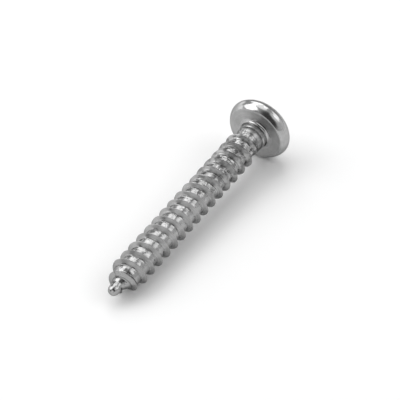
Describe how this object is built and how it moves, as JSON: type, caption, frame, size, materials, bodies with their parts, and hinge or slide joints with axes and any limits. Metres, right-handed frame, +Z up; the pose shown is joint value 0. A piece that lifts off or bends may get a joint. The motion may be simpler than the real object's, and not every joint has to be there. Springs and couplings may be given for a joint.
{
  "type": "sheet metal screw",
  "caption": "Pan head sheet metal screw with a cross recess, a coarse right-hand thread along its whole shank and a gimlet point.",
  "frame": {"origin": "on the floor under the middle of the lying screw's bounding box", "axes": "+Z up; +X along the lying screw from its point towards its head; +Y completes the right-handed frame"},
  "size_m": [0.0274, 0.0066, 0.0067],
  "materials": {
    "zinc_plated_steel": "bright zinc over rolled steel: smooth on the head, marked by the rolling dies on the thread"
  },
  "bodies": {
    "root": {"screw": "zinc_plated_steel"}
  },
  "joints": []
}
